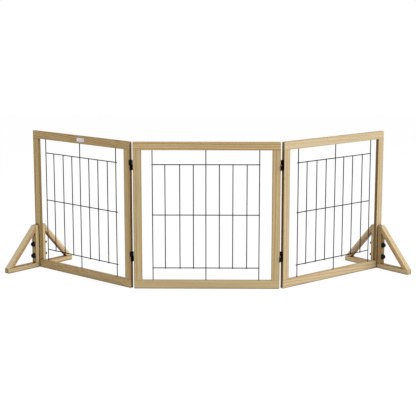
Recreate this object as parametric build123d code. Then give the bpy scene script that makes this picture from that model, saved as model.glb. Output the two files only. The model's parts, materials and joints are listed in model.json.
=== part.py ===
from build123d import *
from math import hypot, sqrt
import os

# Folding three-panel gate for pets: wooden frames with wire grids, joined by hinges
# that fold both ways, and held up by bolted triangular feet at the two outer ends.
# Millimetres and degrees. The origin is the middle of the centre panel's underside,
# on the floor. +X runs along the centre panel to the right, +Y to the back, +Z up.

# Panels
panel_width = 600.0
panel_height = 610.0
panel_thickness = 15.0
stile_width = 34.0
top_rail_height = 34.0
bottom_rail_height = 36.0
corner_radius = 4.0         # frame's outer corners, seen from the front
outer_edge_radius = 2.0
inner_edge_radius = 1.5
rest_fold = 40.7            # how far each side panel stands folded back

# Wire grids
wire_diameter = 4.0
wide_margin = 51.5          # stile to the nearest upright wire, on one side
narrow_margin = 44.5        # and on the other
wire_spacing = (51.5, 60.0, 55.5, 51.0, 55.0, 55.0, 57.5, 50.5)   # shares of the span between
low_cross_rise = 50.0       # bottom rail to the lowest cross wire
high_cross_drop = 60.0      # top rail to the highest cross wire
middle_cross_share = 0.516  # the middle cross wire sits a little above halfway
wire_overhang = 2.8         # wire end past the middle of the wire that it is welded to
weld_depth = 0.4            # how far two crossing wires are sunk into each other
wire_seat_depth = 8.0       # tall wire end inside a rail

# Dowels
dowel_diameter = 6.0
dowel_length = 22.0
dowel_pitch = 16.0          # between the two dowels of a frame corner

# Hinges: outer leaf, link and centre leaf lie flat in the gap between two panels
hinge_height = 42.0
upper_hinge_drop = 96.0     # panel top to the hinge's middle
lower_hinge_rise = 134.0    # floor to the hinge's middle
leaf_thickness = 1.0
leaf_margin = 0.5           # leaf edge inside the panel's face
leaf_gap = 0.2              # between leaf and link when the gate is flat
leaf_corner_radius = 1.5
pin_diameter = 2.5
pin_head_diameter = 4.2
pin_head_height = 0.5
knuckle_wall = 1.3
leaf_knuckle_length = 8.0
knuckle_gap = 0.2           # between neighbouring knuckles
barrel_clearance = 0.25     # barrel to wood and to the leaves that it doesn't carry
tongue_root = 3.0           # how far a knuckle's tongue reaches back into its plate
hinge_screw_diameter = 3.2
hinge_screw_head_diameter = 5.8
hinge_screw_length = 15.0
hinge_screw_pitch = 26.0
screw_slot_width = 0.7
screw_slot_length = 3.4
screw_slot_depth = 0.6
access_margin = 0.5         # link's hole round a screw head

# Feet
foot_length = 178.0         # panel face to the foot's tip
foot_height = 191.0
foot_bar_width = 25.0       # along the panel
foot_bar_depth = 22.0       # in the plane of the triangle
foot_tip_height = 19.0
foot_tip_radius = 4.0
foot_edge_radius = 2.0

# Foot bolts, knobs and cap nuts
bolt_diameter = 8.0
lower_bolt_rise = 17.0      # bottom rail to the lower bolt's axis
bolt_pitch = 52.0
bolt_hole_clearance = 0.25
knob_diameter = 22.0
knob_height = 13.0
knob_collar_height = 3.0
knob_edge = 0.8
knob_crown = 2.5            # radius of the small flat on top
knob_socket_depth = 8.0
seat_gap = 0.2              # knob's underside to the wood
nut_across_flats = 13.0
nut_hex_height = 6.5
nut_dome_inset = 0.25       # dome inside the hexagon's flats
nut_height = 15.0
nut_grip = 10.0             # bolt end inside the nut
nut_bore_spare = 0.8

# Name plate
plate_width = 46.0
plate_height = 17.0
plate_thickness = 0.8
plate_corner_radius = 2.0
plate_offset = 9.0          # from the rail's middle, towards the hinge

fit_clearance = 0.05        # radial, round dowels, wires, pins, screws and threads

# Worked out from the sizes above
half_thickness = panel_thickness / 2
half_width = panel_width / 2
opening_width = panel_width - 2 * stile_width
opening_low = bottom_rail_height
opening_high = panel_height - top_rail_height
panel_gap = 3 * leaf_thickness + 2 * leaf_gap
panel_pitch = panel_width + panel_gap
centre_leaf_at = leaf_thickness / 2
link_at = panel_gap / 2
outer_leaf_at = panel_gap - leaf_thickness / 2
outer_axis_at = panel_gap - leaf_thickness - leaf_gap / 2
inner_axis_at = leaf_thickness + leaf_gap / 2
knuckle_radius = pin_diameter / 2 + knuckle_wall
relief_radius = knuckle_radius + barrel_clearance
# Each barrel clears the rounded edge of the nearer panel by the barrel clearance.
axis_to_round = panel_gap - outer_axis_at + outer_edge_radius
axis_proud = sqrt((relief_radius + outer_edge_radius) ** 2 - axis_to_round ** 2) - outer_edge_radius
axis_y = half_thickness + axis_proud
barrel_length = hinge_height / 2 - 2 * pin_head_height
# Upright wires lie this far in front of the panel's middle plane and cross wires this far behind it.
wire_plane = (wire_diameter - weld_depth) / 2
nut_dome_radius = nut_across_flats / 2 - nut_dome_inset
upper_hinge_z = panel_height - upper_hinge_drop
lower_hinge_z = lower_hinge_rise
bolt_heights = (bottom_rail_height + lower_bolt_rise, bottom_rail_height + lower_bolt_rise + bolt_pitch)
brace_slope = (foot_height - foot_tip_height) / (foot_length - foot_bar_depth)
brace_drop = foot_bar_depth * hypot(1, brace_slope)
brace_run = brace_drop / brace_slope
through = 4 * panel_thickness   # long enough to cut right through a panel
# The end wires and the middle one run from rail to rail, the rest between the outer cross wires.
tall_wires = range(0, len(wire_spacing) + 1, len(wire_spacing) // 2)
tiny = 0.001


def block(x_range, y_range, z_range):
    spans = [high - low for low, high in (x_range, y_range, z_range)]
    middle = [(low + high) / 2 for low, high in (x_range, y_range, z_range)]
    return Pos(*middle) * Box(*spans)


def post(radius, x, y, z_low, z_high):
    return Pos(x, y, (z_low + z_high) / 2) * Cylinder(radius, z_high - z_low)


def rod_along_x(radius, x_low, x_high, y, z):
    return Pos((x_low + x_high) / 2, y, z) * Rot(0, 90, 0) * Cylinder(radius, x_high - x_low)


def rod_along_y(radius, x, y_low, y_high, z):
    return Pos(x, (y_low + y_high) / 2, z) * Rot(90, 0, 0) * Cylinder(radius, y_high - y_low)


def group(solids):
    return Compound(list(solids))


def cut(solid, tools):
    for tool in tools:
        solid = solid - tool
    return solid


# Panels

def frame_ring(x_middle):
    """The whole frame in one, with its edges rounded, before it is cut into bars."""
    x_range = (x_middle - half_width, x_middle + half_width)
    y_range = (-half_thickness, half_thickness)
    outside = block(x_range, y_range, (0, panel_height))
    outside = fillet(outside.edges().filter_by(Axis.Y), corner_radius)
    inside = block((x_range[0] + stile_width, x_range[1] - stile_width), (-through, through),
                   (opening_low, opening_high))
    ring = outside - inside
    for radius, wires_of in ((outer_edge_radius, lambda face: [face.outer_wire()]),
                             (inner_edge_radius, lambda face: face.inner_wires())):
        faces = ring.faces().filter_by(Axis.Y).sort_by(Axis.Y)
        edges = [edge for face in (faces[0], faces[-1]) for wire in wires_of(face) for edge in wire.edges()]
        ring = fillet(edges, radius)
    return ring


def wire_places(x_middle, wide_side):
    """X of each upright wire. wide_side is +1 or -1: where the wide margin lies."""
    low_margin, high_margin = (narrow_margin, wide_margin) if wide_side > 0 else (wide_margin, narrow_margin)
    shares = wire_spacing if wide_side > 0 else wire_spacing[::-1]
    first = x_middle - opening_width / 2 + low_margin
    span = opening_width - low_margin - high_margin
    places = [first]
    for share in shares:
        places.append(places[-1] + span * share / sum(shares))
    return places


def cross_heights():
    low = opening_low + low_cross_rise
    high = opening_high - high_cross_drop
    return low, low + (high - low) * middle_cross_share, high


def wire_grid(x_places):
    """Upright wires in front, cross wires behind, welded into one piece where they cross."""
    radius = wire_diameter / 2
    low, _, high = cross_heights()
    crossing = [rod_along_x(radius, x_places[0] - wire_overhang, x_places[-1] + wire_overhang, wire_plane, z)
                for z in cross_heights()]
    upright = []
    for index, x in enumerate(x_places):
        if index in tall_wires:
            z_range = (opening_low - wire_seat_depth, opening_high + wire_seat_depth)
        else:
            z_range = (low - wire_overhang, high + wire_overhang)
        upright.append(post(radius, x, -wire_plane, *z_range))
    return upright[0].fuse(*upright[1:], *crossing)


def frame_dowels(x_middle, spare=0.0):
    """Two dowels in each corner. With spare they are the tools that drill their holes."""
    radius = dowel_diameter / 2 + spare
    reach = dowel_length / 2 + spare
    dowels = []
    for stile in (-1, 1):
        for side in (-1, 1):
            x = x_middle + stile * (half_width - stile_width / 2) + side * dowel_pitch / 2
            for seam in (opening_low, opening_high):
                dowels.append(post(radius, x, 0, seam - reach, seam + reach))
    return dowels


def panel(prefix, x_middle, wide_side, stile_names, stile_cuts):
    """Four bars and the wire grid of one panel, standing flat in line with the centre panel.
    stile_cuts holds the tools that drill the left stile and the right stile."""
    ring = frame_ring(x_middle)
    x_low, x_high = x_middle - half_width, x_middle + half_width
    y_range = (-through, through)
    places = wire_places(x_middle, wide_side)
    seat_radius = wire_diameter / 2 + fit_clearance
    seats = [post(seat_radius, places[index], -wire_plane, opening_low - wire_seat_depth - fit_clearance,
                  opening_high + wire_seat_depth + fit_clearance) for index in tall_wires]
    drills = frame_dowels(x_middle, fit_clearance)
    bars = {
        "bottom_rail": ((x_low, x_high), (0, opening_low), seats + drills),
        "top_rail": ((x_low, x_high), (opening_high, panel_height), seats + drills),
        stile_names[0]: ((x_low, x_low + stile_width), (opening_low, opening_high), stile_cuts[0] + drills),
        stile_names[1]: ((x_high - stile_width, x_high), (opening_low, opening_high), stile_cuts[1] + drills),
    }
    nodes = {prefix + name: cut(ring & block(x_range, y_range, z_range), tools)
             for name, (x_range, z_range, tools) in bars.items()}
    nodes[prefix + "wire_grid"] = wire_grid(places)
    return nodes


def name_plate(x_middle):
    z = panel_height - top_rail_height / 2
    plate = Box(plate_width, plate_thickness, plate_height)
    plate = fillet(plate.edges().filter_by(Axis.Y), plate_corner_radius)
    return Pos(x_middle + plate_offset, -half_thickness - plate_thickness / 2, z) * plate


# Hinges. Distances named "at" run outwards from the centre panel's end.
# direction is -1 for the left pair of hinges and +1 for the right pair.

def hinge_x(direction, distance):
    return direction * (half_width + distance)


def hinge_plate(direction, at, z_middle):
    plate = Box(leaf_thickness, panel_thickness - 2 * leaf_margin, hinge_height)
    plate = fillet(plate.edges().filter_by(Axis.X), leaf_corner_radius)
    return Pos(hinge_x(direction, at), 0, z_middle) * plate


def barrels(direction, z_middle):
    """The two barrels: outer leaf to link in the upper half, link to centre leaf in the lower."""
    upper_low = z_middle + pin_head_height
    lower_low = z_middle - pin_head_height - barrel_length
    return {
        "outer": (hinge_x(direction, outer_axis_at), direction * axis_y, upper_low),
        "inner": (hinge_x(direction, inner_axis_at), -direction * axis_y, lower_low),
    }


def knuckle_spans(barrel_low, of_link):
    """Height ranges of a barrel's knuckles: the link has both ends, the leaf the middle."""
    leaf_low = barrel_low + (barrel_length - leaf_knuckle_length) / 2
    leaf_high = leaf_low + leaf_knuckle_length
    if not of_link:
        return [(leaf_low, leaf_high)]
    return [(barrel_low, leaf_low - knuckle_gap), (leaf_high + knuckle_gap, barrel_low + barrel_length)]


def with_knuckles(plate, plate_x, carried, cleared, of_link):
    """A plate, relieved round every barrel, with its own knuckles on the carried ones."""
    for x, y, low in carried + cleared:
        plate = plate - post(relief_radius, x, y, low - pin_head_height, low + barrel_length + pin_head_height)
    for x, y, low in carried:
        side = 1 if y > 0 else -1
        root = side * (half_thickness - leaf_margin - tongue_root)
        for z_low, z_high in knuckle_spans(low, of_link):
            x_range = (plate_x - leaf_thickness / 2, plate_x + leaf_thickness / 2)
            plate = plate + block(x_range, (min(root, y), max(root, y)), (z_low, z_high))
            plate = plate + post(knuckle_radius, x, y, z_low, z_high)
        bore_radius = pin_diameter / 2 + fit_clearance
        plate = plate - post(bore_radius, x, y, low - pin_head_height, low + barrel_length + pin_head_height)
    return plate


def screw_heights(z_middle):
    return z_middle - hinge_screw_pitch / 2, z_middle + hinge_screw_pitch / 2


def hinge_screw(face_x, inward, z, spare=0.0):
    """Countersunk screw whose head is flush at face_x and which runs along inward (+1 or -1).
    With spare it is the tool that cuts its hole."""
    shank = hinge_screw_diameter / 2 + spare
    head = hinge_screw_head_diameter / 2 + spare
    length = hinge_screw_length + spare
    outline = Polyline((0, 0), (head, 0), (shank, leaf_thickness), (shank, length - shank), (0, length), (0, 0))
    screw = revolve(make_face(Plane.XZ * outline), Axis.Z)
    if not spare:
        slot = block((-screw_slot_length / 2, screw_slot_length / 2), (-screw_slot_width / 2, screw_slot_width / 2),
                     (0, screw_slot_depth))
        screw = screw - slot - Rot(0, 0, 90) * slot
    return Pos(face_x, 0, z) * Rot(0, 90 * inward, 0) * screw


def leaf_screws(direction, carrier, heights, spare=0.0):
    """Screws through the centre leaf or the outer leaf, into that leaf's panel."""
    at, inward = (leaf_thickness, -direction) if carrier == "centre" else (panel_gap - leaf_thickness, direction)
    return [hinge_screw(hinge_x(direction, at), inward, z, spare) for z in heights]


def all_screw_heights():
    return screw_heights(lower_hinge_z) + screw_heights(upper_hinge_z)


def hinge(direction, z_middle):
    """Outer leaf, link, centre leaf and the two pins of one hinge, flat."""
    axes = barrels(direction, z_middle)
    heights = screw_heights(z_middle)
    parts = {}
    for name, at, carried, cleared in (
            ("outer_leaf", outer_leaf_at, ["outer"], ["inner"]),
            ("link", link_at, ["outer", "inner"], []),
            ("centre_leaf", centre_leaf_at, ["inner"], ["outer"])):
        plate = hinge_plate(direction, at, z_middle)
        if name == "link":
            reach = hinge_x(direction, 0), hinge_x(direction, panel_gap)
            access = hinge_screw_head_diameter / 2 + access_margin
            plate = cut(plate, [rod_along_x(access, min(reach), max(reach), 0, z) for z in heights])
        else:
            carrier = "centre" if name == "centre_leaf" else "outer"
            plate = cut(plate, leaf_screws(direction, carrier, heights, fit_clearance))
        parts[name] = with_knuckles(plate, hinge_x(direction, at), [axes[key] for key in carried],
                                    [axes[key] for key in cleared], name == "link")
    parts["pins"] = []
    for x, y, low in axes.values():
        high = low + barrel_length
        pin = post(pin_diameter / 2, x, y, low - pin_head_height, high + pin_head_height)
        pin = pin + post(pin_head_diameter / 2, x, y, low - pin_head_height, low - fit_clearance)
        pin = pin + post(pin_head_diameter / 2, x, y, high + fit_clearance, high + pin_head_height)
        parts["pins"].append(pin)
    return parts


# Feet. A foot is drawn in its own plane: first number away from the panel's face, second up.

def foot_ring():
    """The whole triangle in one, before it is cut into bars."""
    bar = foot_bar_depth
    outline = Polyline((0, 0), (foot_length, 0), (foot_length, foot_tip_height), (bar, foot_height),
                       (0, foot_height), (0, 0))
    outside = make_face(outline)
    tip = outside.vertices().filter_by(lambda point: point.X > bar + tiny)
    outside = fillet(tip, foot_tip_radius)
    inner_top = foot_height - brace_drop
    inner_tip = bar + (inner_top - bar) / brace_slope
    inside = make_face(Polyline((bar, bar), (inner_tip, bar), (bar, inner_top), (bar, bar)))
    return extrude(outside - inside, foot_bar_width / 2, both=True)


def foot_bars(drills):
    """Upright, base and brace of a foot in its own plane. Edges are rounded, but not where bars meet."""
    ring = foot_ring()
    outline = Compound(ring.edges())
    bar = foot_bar_depth
    z_range = (-foot_bar_width, foot_bar_width)
    base = block((-bar, foot_length + bar), (-bar, bar), z_range)
    upright = block((-bar, bar), (bar, foot_height + bar), z_range)
    bars = {}
    for name, solid in (("base", ring & base), ("upright", ring & upright), ("brace", ring - base - upright)):
        rims = [edge for face in solid.faces().filter_by(Axis.Z) for edge in face.edges()
                if outline.distance_to(edge.center()) < tiny]
        bars[name] = cut(fillet(rims, foot_edge_radius), drills)
    return bars


def foot_dowels(spare=0.0):
    """Upright to base, brace to base and brace to upright."""
    radius = dowel_diameter / 2 + spare
    length = dowel_length + 2 * spare
    bar = foot_bar_depth
    into = dowel_length / 4
    standing = Rot(90, 0, 0) * Cylinder(radius, length)
    lying = Rot(0, 90, 0) * Cylinder(radius, length)
    brace_base_at = foot_length - (bar - foot_tip_height) / brace_slope - brace_run / 2 - into / brace_slope
    brace_top_at = foot_height - brace_drop / 2 - into * brace_slope
    return [Pos(bar / 2, bar, 0) * standing, Pos(brace_base_at, bar, 0) * standing,
            Pos(bar, brace_top_at, 0) * lying]


def foot_place(x, side):
    """Puts a foot drawn in its own plane against a panel: side is -1 in front, +1 behind."""
    return Plane(origin=(x, side * half_thickness, 0), x_dir=(0, side, 0), z_dir=(side, 0, 0)).location


def bolt_holes(x):
    radius = bolt_diameter / 2 + bolt_hole_clearance
    reach = half_thickness + 2 * foot_bar_depth
    return [rod_along_y(radius, x, -reach, reach, z) for z in bolt_heights]


def knob(x, z):
    """Domed knob, its flat side against the front upright."""
    radius = knob_diameter / 2
    outline = Polyline((knob_crown, knob_height), (0, knob_height), (0, 0), (radius - knob_edge, 0),
                       (radius, knob_edge), (radius, knob_collar_height))
    outline += EllipticalCenterArc((knob_crown, knob_collar_height), radius - knob_crown,
                                   knob_height - knob_collar_height, 0, arc_size=90)
    body = revolve(Plane.XZ * make_face(outline), Axis.Z)
    socket = post(bolt_diameter / 2 + fit_clearance, 0, 0, -fit_clearance, knob_socket_depth + fit_clearance)
    y = -half_thickness - foot_bar_depth - seat_gap
    return Pos(x, y, z) * Rot(90, 0, 0) * (body - socket)


def bolt(x, z):
    front = -half_thickness - foot_bar_depth - seat_gap - knob_socket_depth
    back = half_thickness + foot_bar_depth + nut_grip
    return rod_along_y(bolt_diameter / 2, x, front, back, z)


def cap_nut(x, z):
    hexagon = RegularPolygon(nut_across_flats / sqrt(3), 6)
    dome_middle = nut_height - nut_dome_radius
    body = extrude(hexagon, nut_hex_height) + post(nut_dome_radius, 0, 0, 0, dome_middle)
    body = body + Pos(0, 0, dome_middle) * Sphere(nut_dome_radius)
    body = body - post(bolt_diameter / 2 + fit_clearance, 0, 0, -fit_clearance, nut_grip + nut_bore_spare)
    return Pos(x, half_thickness + foot_bar_depth, z) * Rot(-90, 0, 0) * body


def feet(side_name, direction):
    """Both feet of one outer end with their fasteners, against the flat panel.
    The feet's outer sides are flush with the panel's end."""
    x = direction * (panel_pitch + half_width - foot_bar_width / 2)
    nodes = {}
    dowels = []
    for place_name, side in (("front", -1), ("back", 1)):
        place = foot_place(x, side)
        for name, bar in foot_bars(foot_dowels(fit_clearance)).items():
            nodes[f"{side_name}_{place_name}_foot_{name}"] = cut(place * bar, bolt_holes(x))
        dowels += [place * dowel for dowel in foot_dowels()]
    for height_name, z in zip(("lower", "upper"), bolt_heights):
        nodes[f"{side_name}_{height_name}_knob"] = knob(x, z)
        nodes[f"{side_name}_{height_name}_bolt"] = bolt(x, z)
    nodes[f"{side_name}_cap_nuts"] = group(cap_nut(x, z) for z in bolt_heights)
    return nodes, dowels, bolt_holes(x)


# Assembly

def fold_back(shape, direction):
    """Turns a flat side panel's piece about the hinge axis that it folds back on."""
    axis_at = inner_axis_at if direction < 0 else outer_axis_at
    axis = Axis((hinge_x(direction, axis_at), axis_y, 0), (0, 0, 1))
    return shape.rotate(axis, direction * rest_fold)


def side_assembly(side_name, direction):
    """One side panel with its hinges and feet, folded back to its place at rest."""
    x_middle = direction * panel_pitch
    nodes, foot_pegs, bolt_tools = feet(side_name, direction)
    screw_tools = leaf_screws(direction, "outer", all_screw_heights(), fit_clearance)
    prefix = f"{side_name}_panel_"
    if direction < 0:
        nodes |= panel(prefix, x_middle, 1, ("outer_stile", "hinge_stile"), (bolt_tools, screw_tools))
        nodes["name_plate"] = name_plate(x_middle)
    else:
        nodes |= panel(prefix, x_middle, -1, ("hinge_stile", "outer_stile"), (screw_tools, bolt_tools))
    nodes[prefix + "dowels"] = group(frame_dowels(x_middle) + foot_pegs)
    nodes[f"{side_name}_outer_leaf_screws"] = group(leaf_screws(direction, "outer", all_screw_heights()))
    link_nodes = {}
    still_nodes = {f"{side_name}_centre_leaf_screws": group(leaf_screws(direction, "centre", all_screw_heights()))}
    pins = []
    for height_name, z_middle in (("lower", lower_hinge_z), ("upper", upper_hinge_z)):
        parts = hinge(direction, z_middle)
        nodes[f"{side_name}_{height_name}_outer_leaf"] = parts["outer_leaf"]
        link_nodes[f"{side_name}_{height_name}_link"] = parts["link"]
        still_nodes[f"{side_name}_{height_name}_centre_leaf"] = parts["centre_leaf"]
        pins += parts["pins"]
    link_nodes[f"{side_name}_hinge_pins"] = group(pins)
    # Folded back, the left links go with their panel and the right ones stay with the centre.
    (nodes if direction < 0 else still_nodes).update(link_nodes)
    folded = {name: fold_back(shape, direction) for name, shape in nodes.items()}
    return folded | still_nodes


def centre_panel():
    left_tools, right_tools = (leaf_screws(direction, "centre", all_screw_heights(), fit_clearance)
                               for direction in (-1, 1))
    nodes = panel("centre_panel_", 0, 1, ("left_stile", "right_stile"), (left_tools, right_tools))
    nodes["centre_panel_dowels"] = group(frame_dowels(0))
    return nodes


os.makedirs("parts", exist_ok=True)
gate = centre_panel() | side_assembly("left", -1) | side_assembly("right", 1)
for node_name, node_shape in gate.items():
    export_step(node_shape, f"parts/{node_name}.step")
print(len(gate), "nodes written")
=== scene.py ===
import bmesh
import bpy
import json
from math import cos, pi, radians, sin
from mathutils import Matrix, Vector


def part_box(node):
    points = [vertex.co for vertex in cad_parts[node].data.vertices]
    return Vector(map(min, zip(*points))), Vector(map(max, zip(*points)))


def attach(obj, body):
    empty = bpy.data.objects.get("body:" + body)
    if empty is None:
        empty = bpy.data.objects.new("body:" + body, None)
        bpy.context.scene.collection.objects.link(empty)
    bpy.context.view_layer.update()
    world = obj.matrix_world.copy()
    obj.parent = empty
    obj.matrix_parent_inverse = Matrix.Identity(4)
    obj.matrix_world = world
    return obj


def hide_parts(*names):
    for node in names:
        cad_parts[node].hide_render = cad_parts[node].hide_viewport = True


# Folding wooden pet gate. Metres, +X right, +Y back, +Z up.
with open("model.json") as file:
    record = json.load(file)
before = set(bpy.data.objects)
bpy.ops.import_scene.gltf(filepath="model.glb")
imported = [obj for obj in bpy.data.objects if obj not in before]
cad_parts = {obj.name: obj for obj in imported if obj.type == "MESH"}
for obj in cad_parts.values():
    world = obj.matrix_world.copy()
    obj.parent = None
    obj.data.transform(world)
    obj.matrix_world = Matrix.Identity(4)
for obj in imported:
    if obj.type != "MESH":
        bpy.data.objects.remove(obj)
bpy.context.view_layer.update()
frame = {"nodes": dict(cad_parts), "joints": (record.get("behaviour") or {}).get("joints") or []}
nodes = frame["nodes"]
joints = {joint["name"]: joint for joint in frame["joints"]}
scene = bpy.context.scene
mm = 0.001

# Places that the CAD gives, and the sizes of its bars
foldAngle = radians(-joints["left_back_fold"]["range_deg"][0])
centreLow = Vector(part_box("centre_panel_bottom_rail")[0])
centreHigh = Vector(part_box("centre_panel_top_rail")[1])
panelWidth = centreHigh.x - centreLow.x
panelHeight = centreHigh.z
halfThickness = centreHigh.y
hingeGap = 3.4 * mm
panelPitch = panelWidth + hingeGap
stileWidth, topRailHeight, bottomRailHeight = 34 * mm, 34 * mm, 36 * mm
footWidth, footDepth = 25 * mm, 22 * mm
footReach, footTipHeight = 178 * mm, 19 * mm


def foldTurn(side):
    # Flat, in line with the centre panel, to where the panel stands at rest
    if side == "centre":
        return Matrix.Identity(4)
    hinge = Vector(joints[side + "_back_fold"]["pos_m"])
    direction = -1 if side == "left" else 1
    turn = Matrix.Rotation(direction * foldAngle, 4, "Z")
    return Matrix.Translation(hinge) @ turn @ Matrix.Translation(-hinge)


def panelMiddle(side):
    return {"left": -panelPitch, "centre": 0, "right": panelPitch}[side]


# Node helpers

def addNode(tree, kind, settings=None, inputs=None):
    node = tree.nodes.new(kind)
    for name, value in (settings or {}).items():
        setattr(node, name, value)
    for key, value in (inputs or {}).items():
        if isinstance(value, bpy.types.NodeSocket):
            tree.links.new(value, node.inputs[key])
        else:
            node.inputs[key].default_value = value
    return node


def mathNode(tree, operation, *values):
    return addNode(tree, "ShaderNodeMath", {"operation": operation}, dict(enumerate(values))).outputs[0]


def vectorNode(tree, operation, *values):
    node = addNode(tree, "ShaderNodeVectorMath", {"operation": operation}, dict(enumerate(values)))
    return node.outputs["Value" if operation == "DOT_PRODUCT" else "Vector"]


def mapRange(tree, value, fromLow, fromHigh, toLow=0.0, toHigh=1.0, smooth=True):
    kind = "SMOOTHSTEP" if smooth else "LINEAR"
    inputs = {0: value, 1: fromLow, 2: fromHigh, 3: toLow, 4: toHigh}
    return addNode(tree, "ShaderNodeMapRange", {"interpolation_type": kind}, inputs).outputs[0]


def noise(tree, vector, stretch, detail=2.0, roughness=0.5):
    scaled = vectorNode(tree, "MULTIPLY", vector, stretch)
    inputs = {"Vector": scaled, "Scale": 1.0, "Detail": detail, "Roughness": roughness}
    return addNode(tree, "ShaderNodeTexNoise", None, inputs).outputs[0]


def mixColor(tree, share, first, second, blend="MIX"):
    settings = {"data_type": "RGBA", "blend_type": blend}
    return addNode(tree, "ShaderNodeMix", settings, {0: share, 6: first, 7: second}).outputs[2]


def shadeColor(tree, color, value):
    # The colour, lighter or darker by a value
    grey = addNode(tree, "ShaderNodeCombineColor", None, {0: value, 1: value, 2: value}).outputs[0]
    return mixColor(tree, 1.0, color, grey, "MULTIPLY")


def newGroup(name, inputs, outputs):
    group = bpy.data.node_groups.new(name, "ShaderNodeTree")
    kinds = {"float": "NodeSocketFloat", "vector": "NodeSocketVector", "color": "NodeSocketColor"}
    for label, kind, value in inputs:
        socket = group.interface.new_socket(name=label, in_out="INPUT", socket_type=kinds[kind])
        if value is not None:
            socket.default_value = value
    for label, kind in outputs:
        group.interface.new_socket(name=label, in_out="OUTPUT", socket_type=kinds[kind])
    return group, group.nodes.new("NodeGroupInput").outputs, group.nodes.new("NodeGroupOutput").inputs


def tint(red, green, blue):
    # Written as seen on screen, 0 to 255
    def linear(value):
        value /= 255
        return value / 12.92 if value <= 0.04045 else ((value + 0.055) / 1.055) ** 2.4
    return (linear(red), linear(green), linear(blue), 1.0)


# Shared shader groups

# How fine each mark is: noise scales along the bar, across its face and through it
grainScales = {
    "bend": (1.6, 9, 9),
    "ripple": (7, 60, 60),
    "dashes": (20, 330, 330),
    "lineBreaks": (9, 90, 90),
    "clouds": (3, 28, 28),
    "fibres": (14, 1100, 1100),
    "streaks": (5, 240, 240),
    "flecks": (75, 1900, 1900),
}
# From where to where in a ring or in the noise each mark comes up
grainCuts = {
    "lateWoodRise": (0.25, 0.82),
    "lateWoodFall": (0.84, 1.0),
    "dashes": (0.52, 0.68),
    "lineBreaks": (0.3, 0.55),
    "flecks": (0.7, 0.8),
}
# Rings and lines bend by a length, the others change the tone by a share
grainStrengths = {
    "ringBend": 16 * mm,
    "ringRipple": 1.6 * mm,
    "lineBend": 8 * mm,
    "clouds": 0.22,
    "fibres": 0.16,
    "streaks": 0.2,
    "flecks": -0.16,
    "endGrain": -0.22,
    "seam": -0.45,
}
grainReach = {
    "edge": (0.5 * mm, 4.5 * mm),    # the painted shade on a rounded edge, from full to none
    "seam": 0.7 * mm,                # the dark line where a bar's end meets its neighbour
}
seedShifts = (1.37, 0.71, 0.43)      # metres between one seed's wood and the next


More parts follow.
